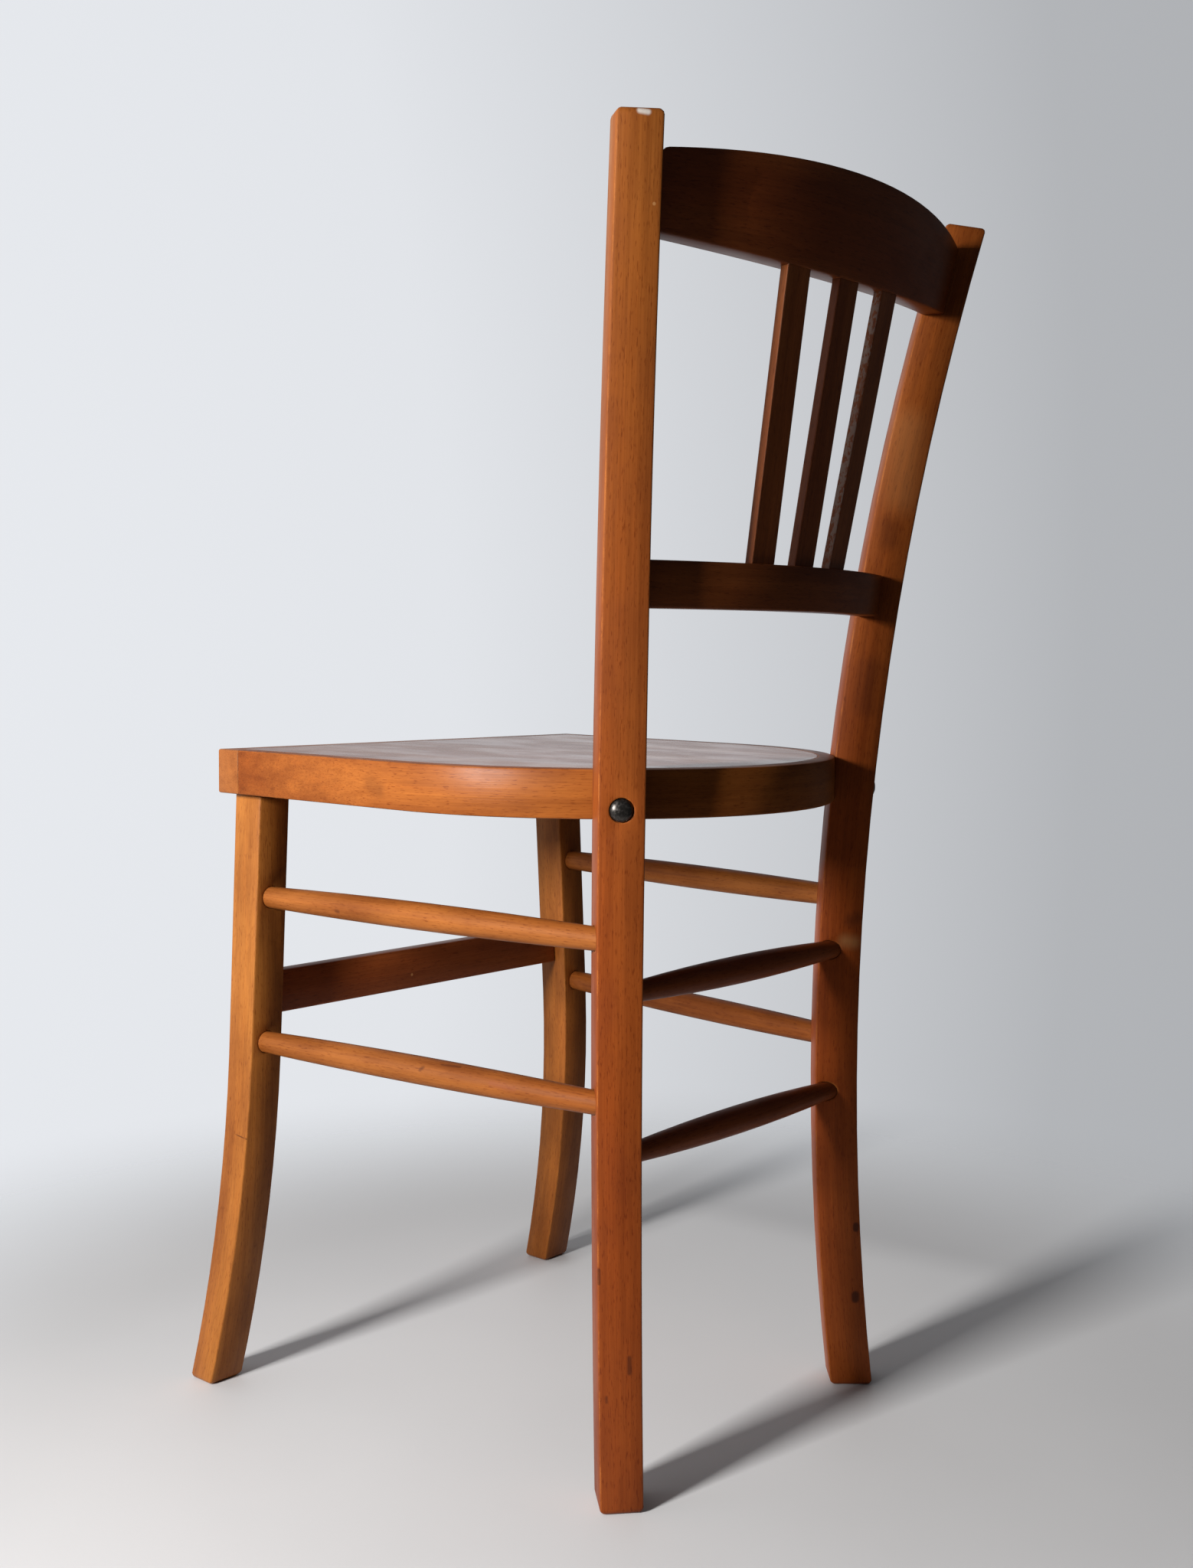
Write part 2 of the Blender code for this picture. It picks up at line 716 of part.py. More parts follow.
def ring(name, outer, inner, low, high, matrix, material, sides=METAL_SIDES):
    """A washer or a nut: a bar with an outer number of sides, bored through."""
    bm = bmesh.new()
    bmesh.ops.create_cone(
        bm, cap_ends=True, segments=sides, radius1=outer, radius2=outer, depth=high - low
    )
    bmesh.ops.translate(bm, vec=(0, 0, (high + low) / 2), verts=bm.verts)
    bmesh.ops.transform(bm, matrix=matrix, verts=bm.verts)
    obj = finish_mesh(name, bm, material)
    axis = matrix.to_3x3() @ Z_AXIS
    start = matrix @ Vector((0, 0, low)) - axis * BOOLEAN_OVERRUN
    bore = round_bar(2 * inner, start, axis, high - low + 2 * BOOLEAN_OVERRUN, METAL_SIDES)
    cut(obj, finish_cutter(f"{name}_bore", bore))
    return obj


def washer_and_nut(word, side):
    out = post_out(side)
    frame = along(out, Z_AXIS * BOLT_HEIGHT)
    bore = bore_diameter(BOLT_SHANK_DIAMETER, METAL_SIDES) / 2
    outer = washer_reach()
    inner = outer - WASHER_THICKNESS
    ring(f"bolt_washer_{word}", WASHER_DIAMETER / 2, bore, inner, outer, frame, ZINC_STEEL)
    nut_outer = inner - CLEARANCE
    corner = NUT_ACROSS_FLATS / 2 / math.cos(math.pi / 6)
    ring(f"bolt_nut_{word}", corner, bore, nut_outer - NUT_HEIGHT, nut_outer, frame, ZINC_STEEL, 6)


def bolt_hole(word, side):
    """The bolt's bore through the post and the rim."""
    out = post_out(side)
    start = out * (washer_reach() - BOOLEAN_OVERRUN) + Z_AXIS * BOLT_HEIGHT
    length = RIM_THICKNESS + POST_DEPTH + 3 * BOOLEAN_OVERRUN
    diameter = bore_diameter(BOLT_SHANK_DIAMETER, METAL_SIDES)
    return finish_cutter(f"bolt_hole_{word}", round_bar(diameter, start, out, length, METAL_SIDES))


def head_recess(word, side):
    """The flat place for the bolt's head in the post's outer face."""
    frame = bolt_frame(side)
    start = frame @ Vector((0, 0, head_seat() - CLEARANCE))
    diameter = bore_diameter(BOLT_HEAD_DIAMETER, METAL_SIDES)
    well = round_bar(diameter, start, post_out(side), BOLT_HEAD_DIAMETER, METAL_SIDES)
    return finish_cutter(f"head_recess_{word}", well)


# Corner blocks, their screws, and the dowels


def block_outline(side):
    """The corner block in plan: a triangle against the front rail and the hoop."""
    front = FRONT_RAIL_BACK_Y + CLEARANCE
    back = front + BLOCK_LEG_LENGTH
    inset = RIM_THICKNESS + CLEARANCE
    corner = (side * side_half_width(front, inset), front)
    along_hoop = (side * side_half_width(back, inset), back)
    along_rail = (corner[0] - side * BLOCK_LEG_LENGTH, front)
    return [corner, along_hoop, along_rail]


def screw_line(side, into):
    """Where a block's screw enters the frame, and its direction."""
    corner = block_outline(side)[0]
    z = BLOCK_BOTTOM + BLOCK_HEIGHT / 2
    if into == "rail":
        x = corner[0] - side * SCREW_DISTANCE_FROM_CORNER
        return Vector((x, corner[1], z - SCREW_HEIGHT_STEP / 2)), Vector((0, -1, 0))
    y = corner[1] + SCREW_DISTANCE_FROM_CORNER
    x = side * side_half_width(y, RIM_THICKNESS + CLEARANCE)
    return Vector((x, y, z + SCREW_HEIGHT_STEP / 2)), Vector((side, 0, 0))


def block_screw(name, side, into):
    mouth, direction = screw_line(side, into)
    head_top = mouth - direction * (SCREW_GRIP + SCREW_HEAD_HEIGHT)
    tip = SCREW_GRIP + SCREW_HEAD_HEIGHT + SCREW_IN_FRAME
    head = SCREW_HEAD_DIAMETER / 2
    shank = SCREW_SHANK_DIAMETER / 2
    profile = [
        (0.0, 0.0),
        (head, 0.0),
        (head, -SCREW_HEAD_HEIGHT),
        (shank, -SCREW_HEAD_HEIGHT),
        (shank, -tip + SCREW_SHANK_DIAMETER),
        (0.0, -tip),
    ]
    turned(name, profile, along(-direction, head_top), ZINC_STEEL, SCREW_SIDES)


def screw_cutters(side, into, word):
    """The counterbored hole in the block, and the pilot hole in the frame."""
    mouth, direction = screw_line(side, into)
    shank = bore_diameter(SCREW_SHANK_DIAMETER, SCREW_SIDES)
    start = mouth - direction * (SCREW_GRIP + BOOLEAN_OVERRUN)
    through = SCREW_GRIP + BOOLEAN_OVERRUN + SCREW_IN_FRAME + 2 * CLEARANCE
    pilot = round_bar(shank, start, direction, through, SCREW_SIDES)
    well = bore_diameter(SCREW_HEAD_DIAMETER, SCREW_SIDES)
    bottom = mouth - direction * (SCREW_GRIP - CLEARANCE)
    counterbore = round_bar(well, bottom, -direction, BLOCK_LEG_LENGTH, SCREW_SIDES)
    hole = finish_cutter(f"screw_hole_{into}_{word}", pilot)
    return hole, finish_cutter(f"screw_well_{into}_{word}", counterbore)


def dowel_start(side, z):
    """The middle of the joint between a hoop end and the front rail."""
    x = side_half_width(FRONT_RAIL_BACK_Y, RIM_THICKNESS / 2)
    return Vector((side * x, FRONT_RAIL_BACK_Y, z))


def build_posts(crest, lower):
    rim_bed = slab(
        seat_outline(-CLEARANCE, FRONT_EDGE_Y), RIM_BOTTOM - CLEARANCE, SEAT_HEIGHT + CLEARANCE
    )
    rim_bed = finish_cutter("rim_housing", rim_bed)
    for word, side in SIDES.items():
        bm = post_mesh(side)
        chamfer_foot(bm)
        post = finish_mesh(f"back_post_{word}", bm, BEECH)
        ease_arrises(post)
        cut(post, rim_bed, bolt_hole(word, side), head_recess(word, side))
        for rail in (crest, lower):
            mortise = rail.tenon(side, CLEARANCE, BOOLEAN_OVERRUN)
            cut(post, finish_cutter(f"{rail.name}_mortise_{word}", mortise))
        for level, heights in SIDE_ROD_HEIGHTS.items():
            start, end = side_rod_ends(side, heights)
            inward = (end - start).normalized()
            cut(post, rod_hole(f"post_side_hole_{level}_{word}", end, inward, SIDE_ROD_END_DIAMETER))
        for level, z in BACK_ROD_HEIGHTS.items():
            inward = Vector((side, 0, 0))
            mouth = post_face(side, z, True, BACK_ROD_FACE_OFFSET)
            cut(post, rod_hole(f"post_back_hole_{level}_{word}", mouth, inward, BACK_ROD_END_DIAMETER))


def build_front_legs():
    for word, side in SIDES.items():
        bm = leg_mesh(side)
        chamfer_foot(bm)
        leg = finish_mesh(f"front_leg_{word}", bm, BEECH)
        ease_arrises(leg)
        boolean(leg, finish_cutter(f"leg_tenon_{word}", leg_tenon(side)), "UNION")
        for level, heights in SIDE_ROD_HEIGHTS.items():
            start, end = side_rod_ends(side, heights)
            inward = (start - end).normalized()
            cut(leg, rod_hole(f"leg_hole_{level}_{word}", start, inward, SIDE_ROD_END_DIAMETER))
        mortise = stretcher_tenon(side, CLEARANCE, BOOLEAN_OVERRUN)
        cut(leg, finish_cutter(f"stretcher_mortise_{word}", mortise))


def build_seat():
    outer = round_back(0.0)
    inner = round_back(RIM_THICKNESS)
    ends = {}
    for inset in (0.0, RIM_THICKNESS):
        ends[inset] = side_half_width(HOOP_END_Y, inset)
    outline = [(ends[0.0], HOOP_END_Y)] + outer + [(-ends[0.0], HOOP_END_Y)]
    outline += [(-ends[RIM_THICKNESS], HOOP_END_Y)] + inner[::-1] + [(ends[RIM_THICKNESS], HOOP_END_Y)]
    hoop = finish_mesh("seat_hoop", slab(outline, RIM_BOTTOM, SEAT_HEIGHT), BEECH)

    front_half = side_half_width(FRONT_EDGE_Y, 0.0)
    back_half = side_half_width(FRONT_RAIL_BACK_Y, 0.0)
    rail_outline = [
        (front_half, FRONT_EDGE_Y),
        (back_half, FRONT_RAIL_BACK_Y),
        (-back_half, FRONT_RAIL_BACK_Y),
        (-front_half, FRONT_EDGE_Y),
    ]
    rail = finish_mesh("seat_front_rail", slab(rail_outline, RIM_BOTTOM, SEAT_HEIGHT), BEECH)
    ease_arrises(hoop, HOOP_END_Y)
    ease_arrises(rail, FRONT_RAIL_BACK_Y)

    panel_front = FRONT_EDGE_Y + RIM_LIP
    opening = seat_outline(RIM_LIP - CLEARANCE, panel_front - CLEARANCE)
    recess = finish_cutter("panel_recess", slab(opening, LEDGE_HEIGHT, SEAT_HEIGHT + BOOLEAN_OVERRUN))
    cut(hoop, recess)
    cut(rail, recess)
    low = SEAT_HEIGHT - PANEL_THICKNESS
    panel = slab(seat_outline(RIM_LIP, panel_front), low, SEAT_HEIGHT)
    finish_mesh("seat_panel", panel, PLYWOOD)

    for word, side in SIDES.items():
        cut(hoop, bpy.data.objects[f"bolt_hole_{word}"])
        cut(rail, finish_cutter(f"leg_mortise_{word}", leg_tenon(side, CLEARANCE)))
        for level, drop in DOWEL_DROPS.items():
            middle = dowel_start(side, SEAT_HEIGHT - drop)
            along_y = Vector((0, 1, 0))
            start = middle - along_y * (DOWEL_IN_RAIL - CLEARANCE)
            length = DOWEL_IN_RAIL + DOWEL_IN_HOOP - 2 * CLEARANCE
            name = f"rim_dowel_{level}_{word}"
            finish_mesh(name, round_bar(DOWEL_DIAMETER, start, along_y, length, DOWEL_SIDES), RAW_WOOD)
            start = middle - along_y * DOWEL_IN_RAIL
            length = DOWEL_IN_RAIL + DOWEL_IN_HOOP
            diameter = bore_diameter(DOWEL_DIAMETER, DOWEL_SIDES)
            bore = round_bar(diameter, start, along_y, length, DOWEL_SIDES)
            bore = finish_cutter(f"{name}_bore", bore)
            cut(hoop, bore)
            cut(rail, bore)
        block = finish_mesh(
            f"corner_block_{word}",
            slab(block_outline(side), BLOCK_BOTTOM, BLOCK_BOTTOM + BLOCK_HEIGHT),
            RAW_WOOD,
        )
        for into, frame_piece in (("rail", rail), ("hoop", hoop)):
            block_screw(f"block_screw_{into}_{word}", side, into)
            pilot, well = screw_cutters(side, into, word)
            cut(block, pilot, well)
            cut(frame_piece, pilot)


def build_back():
    for rail in (CREST, LOWER_RAIL):
        bm = rail.mesh()
        if rail is CREST:
            rail.round_top_corners(bm, CREST_CORNER_RADIUS)
        obj = finish_mesh(rail.name, bm, RAIL_BEECH)
        ease_arrises(obj)
        for word, side in SIDES.items():
            boolean(obj, finish_cutter(f"{rail.name}_tenon_{word}", rail.tenon(side)), "UNION")
    for word, place in (("left", 1), ("centre", 0), ("right", -1)):
        finish_mesh(f"back_slat_{word}", slat_box(place), RAIL_BEECH)
        housing = finish_cutter(f"slat_housing_{word}", slat_box(place, CLEARANCE))
        for rail in (CREST, LOWER_RAIL):
            cut(bpy.data.objects[rail.name], housing)


def build_stretchers():
    for level, heights in SIDE_ROD_HEIGHTS.items():
        for word, side in SIDES.items():
            rod(f"side_rod_{level}_{word}", side_rod_ends(side, heights), SIDE_ROD_END_DIAMETER)
    for level, z in BACK_ROD_HEIGHTS.items():
        rod(f"back_rod_{level}", back_rod_ends(z), BACK_ROD_END_DIAMETER)
    board = finish_mesh("front_stretcher", stretcher_mesh(), BEECH)
    ease_arrises(board)
    for word, side in SIDES.items():
        tenon = finish_cutter(f"stretcher_tenon_{word}", stretcher_tenon(side))
        boolean(board, tenon, "UNION")


def build_metal():
    for word, side in SIDES.items():
        seat_bolt(f"seat_bolt_{word}", side)
        washer_and_nut(word, side)


def tip_seat():
    """Raises the front of the seat, with its fastenings and cutters, about a line between the posts."""
    names = ("seat_", "rim_", "panel_", "corner_block_", "block_screw_", "screw_", "bolt_", "head_recess_")
    pivot = Matrix.Translation((0, SEAT_TIP_Y, SEAT_HEIGHT))
    tip = pivot @ Matrix.Rotation(-SEAT_TIP, 4, "X") @ pivot.inverted()
    for collection in COLLECTIONS.values():
        for obj in collection.objects:
            if obj.name.startswith(names):
                obj.matrix_world = tip @ obj.matrix_world


def stand_on_origin():
    """Moves everything so that the origin is on the floor under the middle of the chair's box."""
    bpy.context.view_layer.update()
    graph = bpy.context.evaluated_depsgraph_get()
    corners = []
    for obj in COLLECTIONS["wooden_chair"].objects:
        evaluated = obj.evaluated_get(graph)
        corners += [evaluated.matrix_world @ Vector(corner) for corner in evaluated.bound_box]
    middle_y = (min(c.y for c in corners) + max(c.y for c in corners)) / 2
    root = bpy.data.objects.new("chair_origin", None)
    COLLECTIONS["wooden_chair"].objects.link(root)
    for collection in COLLECTIONS.values():
        for obj in collection.objects:
            if obj is not root:
                obj.parent = root
    root.location = (0, -middle_y, 0)
    print("chair moved along Y by", round(-middle_y, 5))


build_posts(CREST, LOWER_RAIL)
build_front_legs()
build_seat()
build_back()
build_stretchers()
build_metal()
tip_seat()
stand_on_origin()
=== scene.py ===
"""Looks of the wooden chair: varnished beech, steel fasteners, a pale floor and a near side lamp.

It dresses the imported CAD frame, in metres, in the frame's own coordinates: +Z is up, the chair
faces -Y, and the origin is on the floor under the middle of the chair.
"""

import math
from collections import namedtuple

import bpy
import numpy as np
from mathutils import Matrix, Vector

WHITE = (1.0, 1.0, 1.0)

# Camera: the photograph is 1558 by 2048 pixels, and the angles are in degrees
CAMERA_PLACE = (0.9120, 0.8110, 0.5135)
CAMERA_AZIMUTH = 131.58
CAMERA_DOWN = 3.93
PHOTO_HEIGHT_PX = 2048
FOCAL_PX = 2281.6
SENSOR_MM = 36.0

# Key light: a square lamp beside the chair, near enough for the legs' shadows to spread
KEY_PLACE = (1.60, -0.01, 0.80)
KEY_AIM = (0.0, 0.0, 0.40)
KEY_SIZE = 0.26
KEY_SPREAD = math.radians(100.0)
KEY_WATTS = 15.5

# Studio: each ramp gives radiance from the side away from BRIGHT_AZIMUTH (0) to that side (1)
BRIGHT_AZIMUTH = math.radians(275.0)
STUDIO_TINT = (0.975, 1.0, 1.045)
SEEN_STOPS = [(0.60, 0.42), (0.68, 0.46), (0.83, 0.78), (1.0, 0.86)]
LIGHT_STOPS = [
    (0.30, 0.045),
    (0.50, 0.055),
    (0.60, 0.16),
    (0.68, 0.42),
    (0.79, 0.74),
    (0.87, 0.56),
    (1.0, 0.50),
]

# Floor: a disc that fades into the studio between two distances from the origin
FLOOR_RADIUS = 2.4
FLOOR_SIDES = 96
FLOOR_FADE = (0.38, 0.90)
FLOOR_FAR = (0.97, 0.965, 0.96)
FLOOR_SEEN = (0.665, 0.652, 0.645)
FLOOR_BOUNCE = (0.55, 0.53, 0.51)
FLOOR_CLOUD_NOISE = (4.0, 4.0)
FLOOR_CLOUD_SPAN = (0.3, 0.7)
FLOOR_CLOUD_LEVELS = (0.985, 1.015)
FLOOR_ROUGHNESS = (0.55, 0.65)
FLOOR_SHINE = 0.25
FLOOR_GRIT_NOISE = (300.0, 2.0)
FLOOR_RELIEF = {"Strength": 0.08, "Distance": 0.0005}

# Bends of the bars, so that the grain follows them
HOOP_CENTRE = (0.0, -0.01069, 0.0)
HOOP_MEAN_RADIUS = 0.165
POST_OUT_ANGLE = math.radians(48.5)
POST_BEND_HEIGHT = 0.230
POST_BEND_RADIUS = 2.025
SABRE_HEIGHT = 0.248
SABRE_RADIUS = 0.900
RAIL_BOWS = {"crest_rail": 0.0288, "lower_back_rail": 0.0257}
RAIL_HALF_SPAN = 0.140

# Smoothing: points closer than the weld distance are one, and edges over the angle stay sharp
WELD_DISTANCE = 0.00001
SHARP_ANGLE = math.radians(35.0)

# Figure of the wood. Each noise: squeeze along the grain, scale, detail, roughness
TONE_NOISE = (0.12, 20.0, 3.0, 0.5)
STREAK_NOISE = (0.035, 170.0, 4.0, 0.6)
FIBRE_NOISE = (0.02, 900.0, 2.0, 0.5)
FLECK_NOISE = (0.12, 1500.0, 1.0, 0.5)
BLOTCH_NOISE = (0.45, 34.0, 4.0, 0.6)
FLAKE_NOISE = (0.5, 420.0, 3.0, 0.7)
TONE_SPAN = (0.36, 0.64)
STREAK_STOPS = [(0.30, (0.84, 0.79, 0.74)), (0.50, WHITE), (0.70, (1.10, 1.08, 1.04))]
FIBRE_STOPS = [(0.36, (0.90, 0.87, 0.84)), (0.60, (1.03, 1.03, 1.03))]
BLOTCH_STOPS = [(0.34, (0.78, 0.72, 0.68)), (0.52, WHITE), (0.68, (1.14, 1.18, 1.2))]
FLECK_STOPS = [(0.31, (0.70, 0.60, 0.52)), (0.39, WHITE)]
GRAIN_RELIEF = {"Strength": 0.22, "Distance": 0.0006}
STREAK_HEIGHT = 0.6
FIBRE_HEIGHT = 0.4

# Gloss of the wood: blotches change the roughness from the first step to the second
GLOSS_SPAN = (0.35, 0.65)
GLOSS_STEPS = (0.06, -0.04)
ARRIS_ROUGHER = 0.1

# Arrises: rounded in the shading, and lighter where this noise is high, partly as worn varnish and
# partly as a painted highlight along the edges
ARRIS_RADIUS = 0.0016
ARRIS_SAMPLES = 4
ARRIS_COSINES = (0.985, 0.90)
ARRIS_WEAR_AND_HIGHLIGHT_NOISE = (55.0, 4.0, 0.65)
ARRIS_WEAR_AND_HIGHLIGHT_SPAN = (0.42, 0.62)
ARRIS_WEAR_AND_HIGHLIGHT_LEVELS = (0.12, 0.75)
ARRIS_WEAR_AND_HIGHLIGHT_LIGHTER = 1.6

# Flaked varnish on one narrow face, found by its direction
FLAKED_PIECE = "back_slat_right"
FLAKED_FACING = (0.99, 0.12, 0.03)
FLAKED_COSINES = (0.70, 0.90)
FLAKED_PATCH_NOISE = (60.0, 2.0)
FLAKED_PATCH_SPAN = (0.25, 0.50)
FLAKED_PATCH_LEVELS = (0.25, 1.0)
FLAKE_SPAN = (0.42, 0.56)
FLAKED_COLOUR = (0.30, 0.19, 0.145)

# Each kind of wooden piece: how it is stained, and how strongly its varnish shines
Finish = namedtuple("Finish", "light deep mottle roughness shine")
RAW_BEECH = Finish((0.50, 0.31, 0.16), (0.42, 0.24, 0.11), 0.5, 0.55, 0.15)
FINISHES = {
    "back_post": Finish((0.300, 0.098, 0.018), (0.262, 0.077, 0.013), 0.60, 0.46, 0.14),
    "front_leg": Finish((0.310, 0.108, 0.020), (0.250, 0.076, 0.012), 0.85, 0.42, 0.16),
    "seat_hoop": Finish((0.272, 0.080, 0.014), (0.178, 0.043, 0.007), 0.95, 0.42, 0.12),
    "seat_front_rail": Finish((0.260, 0.083, 0.018), (0.200, 0.058, 0.012), 0.6, 0.36, 0.20),
    "seat_panel": Finish((0.300, 0.100, 0.032), (0.230, 0.063, 0.020), 0.6, 0.22, 0.50),
    "crest_rail": Finish((0.250, 0.066, 0.014), (0.190, 0.041, 0.008), 0.5, 0.36, 0.24),
    "lower_back_rail": Finish((0.225, 0.060, 0.012), (0.176, 0.039, 0.007), 0.5, 0.36, 0.22),
    "back_slat": Finish((0.270, 0.075, 0.017), (0.205, 0.048, 0.009), 0.5, 0.36, 0.22),
    "front_stretcher": Finish((0.290, 0.076, 0.019), (0.210, 0.048, 0.011), 0.5, 0.36, 0.20),
    "side_rod": Finish((0.262, 0.084, 0.017), (0.180, 0.048, 0.008), 1.0, 0.50, 0.12),
    "back_rod": Finish((0.250, 0.064, 0.016), (0.190, 0.044, 0.011), 0.5, 0.46, 0.12),
    "corner_block": RAW_BEECH,
    "rim_dowel": RAW_BEECH,
}
# Each piece shows its own part of the figure: this step times its number in the sorted names
FIGURE_STEP = (0.37, 0.11, 0.53)

# Painted light and shade on the posts, by height: the left post is painted darker and redder
# towards the floor, and the right post darker higher up, as the left post's shadow, and lighter low
# down, as painted light. Each stop: height, tint
POST_PAINTED_SHADE_TINTS = {
    "back_post_left": [
        (0.0, (0.74, 0.50, 0.46)),
        (0.31, (0.76, 0.52, 0.44)),
        (0.58, (0.80, 0.66, 0.68)),
        (0.72, (0.93, 0.88, 0.88)),
        (0.80, WHITE),
    ],
    "back_post_right": [
        (0.0, (1.10, 0.76, 0.70)),
        (0.31, (1.0, 0.66, 0.55)),
        (0.45, (0.80, 0.56, 0.48)),
        (0.72, (0.78, 0.62, 0.55)),
    ],
}

# Marks on single pieces, each a soft stroke: start, end, radius, softness, strength, colour
DARK = (0.045, 0.010, 0.004)
PALE = (0.62, 0.58, 0.52)
TAN = (0.46, 0.22, 0.08)
RED = (0.20, 0.05, 0.02)
MARKS = {
    "back_post_left": [
        ((0.1822, 0.1945, 0.8085), (0.1790, 0.1975, 0.8079), 0.0024, 0.8, 0.80, PALE),
        ((0.1671, 0.1920, 0.7629), (0.1671, 0.1920, 0.7629), 0.0012, 0.5, 0.70, TAN),
        ((0.1271, 0.1413, 0.0850), (0.1273, 0.1415, 0.0940), 0.0024, 0.8, 0.65, DARK),
        ((0.1386, 0.1329, 0.0680), (0.1386, 0.1329, 0.0710), 0.0014, 0.8, 0.50, DARK),
        ((0.1386, 0.1266, 0.1400), (0.1386, 0.1266, 0.1480), 0.0016, 0.6, 0.60, DARK),
    ],
    "back_post_right": [
        ((-0.1179, 0.1431, 0.1140), (-0.1179, 0.1431, 0.1165), 0.0030, 0.6, 0.80, DARK),
        ((-0.1180, 0.1431, 0.0630), (-0.1180, 0.1431, 0.0662), 0.0038, 0.6, 0.80, DARK),
        ((-0.1298, 0.1569, 0.5980), (-0.1300, 0.1571, 0.6080), 0.0120, 1.0, 0.45, DARK),
        ((-0.1198, 0.1462, 0.4850), (-0.1226, 0.1492, 0.5100), 0.0140, 1.0, 0.40, DARK),
        ((-0.1140, 0.1394, 0.3340), (-0.1165, 0.1420, 0.3360), 0.0080, 1.0, 0.50, DARK),
        ((-0.1112, 0.1362, 0.3200), (-0.1150, 0.1405, 0.3190), 0.0080, 1.0, 0.50, TAN),
        ((-0.1359, 0.1635, 0.6300), (-0.1375, 0.1655, 0.6750), 0.0220, 1.0, 0.20, TAN),
    ],
    "front_leg_left": [
        ((0.1790, -0.1950, 0.1858), (0.1770, -0.1660, 0.1826), 0.0006, 0.7, 0.75, DARK),
    ],
    "seat_hoop": [
        ((0.1765, -0.0350, 0.4370), (0.1755, -0.0270, 0.4345), 0.0090, 1.0, 0.30, DARK),
    ],
    "side_rod_upper_left": [
        ((0.1576, -0.0918, 0.3481), (0.1574, -0.0900, 0.3479), 0.0022, 0.8, 0.50, DARK),
    ],
    "side_rod_lower_left": [
        ((0.1519, -0.0160, 0.2510), (0.1519, -0.0140, 0.2530), 0.0020, 0.8, 0.55, DARK),
        ((0.1470, -0.0010, 0.2562), (0.1440, 0.0130, 0.2556), 0.0018, 0.9, 0.55, DARK),
        ((0.1450, 0.0420, 0.2500), (0.1440, 0.0600, 0.2490), 0.0034, 1.0, 0.40, RED),
    ],
    "front_stretcher": [
        ((0.0146, -0.1742, 0.2761), (0.0146, -0.1742, 0.2761), 0.0014, 0.5, 0.80, TAN),
    ],
}

# Metals: name, colour, roughness. Rubbing changes the colour and the roughness
BLACK_STEEL = ("blackened_steel", (0.045, 0.040, 0.036), 0.32)
ZINC = ("zinc_plate", (0.55, 0.55, 0.54), 0.36)
METALLIC = 0.85
RUB_NOISE = (600.0, 3.0)
RUB_SPAN = (0.45, 0.70)
RUB_LIGHTER = 1.9
RUB_GLOSS_SPAN = (0.3, 0.7)
RUB_GLOSS_STEPS = (-0.06, 0.1)
METAL_RELIEF = {"Strength": 0.15, "Distance": 0.0003}


def rgba(colour, scale=1.0):
    return (colour[0] * scale, colour[1] * scale, colour[2] * scale, 1.0)


# Node helpers


class Graph:
    """A node tree, with short calls that make a node, set it and link it."""

    def __init__(self, tree):
        self.tree = tree

    def add(self, kind, inputs=None, **settings):
        node = self.tree.nodes.new(kind)
        for key, value in settings.items():
            setattr(node, key, value)
        for key, value in (inputs or {}).items():
            self.put(node.inputs[key], value)
        return node

    def put(self, socket, value):
        if isinstance(value, bpy.types.NodeSocket):
            self.tree.links.new(value, socket)
        else:
            socket.default_value = value

    def math(self, operation, a, b=0.0):
        return self.add("ShaderNodeMath", {0: a, 1: b}, operation=operation).outputs[0]

    def vector(self, operation, a, b):
        return self.add("ShaderNodeVectorMath", {0: a, 1: b}, operation=operation).outputs[0]

    def scaled(self, vector, factor):
        inputs = {0: vector, "Scale": factor}
        return self.add("ShaderNodeVectorMath", inputs, operation="SCALE").outputs[0]

    def dot(self, a, b):
        node = self.add("ShaderNodeVectorMath", {0: a, 1: b}, operation="DOT_PRODUCT")
        return node.outputs["Value"]

    def length(self, vector):
        return self.add("ShaderNodeVectorMath", {0: vector}, operation="LENGTH").outputs["Value"]

    def split(self, vector):
        return self.add("ShaderNodeSeparateXYZ", {0: vector}).outputs

    def joined(self, x, y, z):
        return self.add("ShaderNodeCombineXYZ", {"X": x, "Y": y, "Z": z}).outputs[0]

    def mix(self, factor, a, b, blend="MIX"):
        inputs = {0: factor, 6: a, 7: b}
        return self.add("ShaderNodeMix", inputs, data_type="RGBA", blend_type=blend).outputs[2]

    def tinted(self, colour, tint, strength=1.0):
        return self.mix(strength, colour, tint, "MULTIPLY")

    def fade(self, value, start, end, low=0.0, high=1.0):
        """From low at start to high at end, smoothly."""
        inputs = {"Value": value, "From Min": start, "From Max": end, "To Min": low, "To Max": high}
        return self.add("ShaderNodeMapRange", inputs, interpolation_type="SMOOTHSTEP").outputs[0]

    def ramp(self, factor, stops):
        node = self.add("ShaderNodeValToRGB", {"Fac": factor})
        points = node.color_ramp.elements
        while len(points) < len(stops):
            points.new(0.5)
        for point, (place, colour) in zip(points, stops):
            point.position = place
            point.color = rgba(colour)
        return node.outputs[0]

    def noise(self, vector, scale, detail, roughness=0.5):
        inputs = {"Vector": vector, "Scale": scale, "Detail": detail, "Roughness": roughness}
        return self.add("ShaderNodeTexNoise", inputs).outputs[0]

    def object_place(self):
        return self.add("ShaderNodeTexCoord").outputs["Object"]

    def bump(self, height, relief, normal=None):
        inputs = {"Height": height, **relief}
        if normal:
            inputs["Normal"] = normal
        return self.add("ShaderNodeBump", inputs).outputs[0]


def new_material(name):
    material = bpy.data.materials.new(name)
    material.use_nodes = True
    return material, Graph(material.node_tree), material.node_tree.nodes["Principled BSDF"]


def place_in_scene(name, data):
    obj = bpy.data.objects.new(name, data)
    bpy.context.scene.collection.objects.link(obj)
    return obj


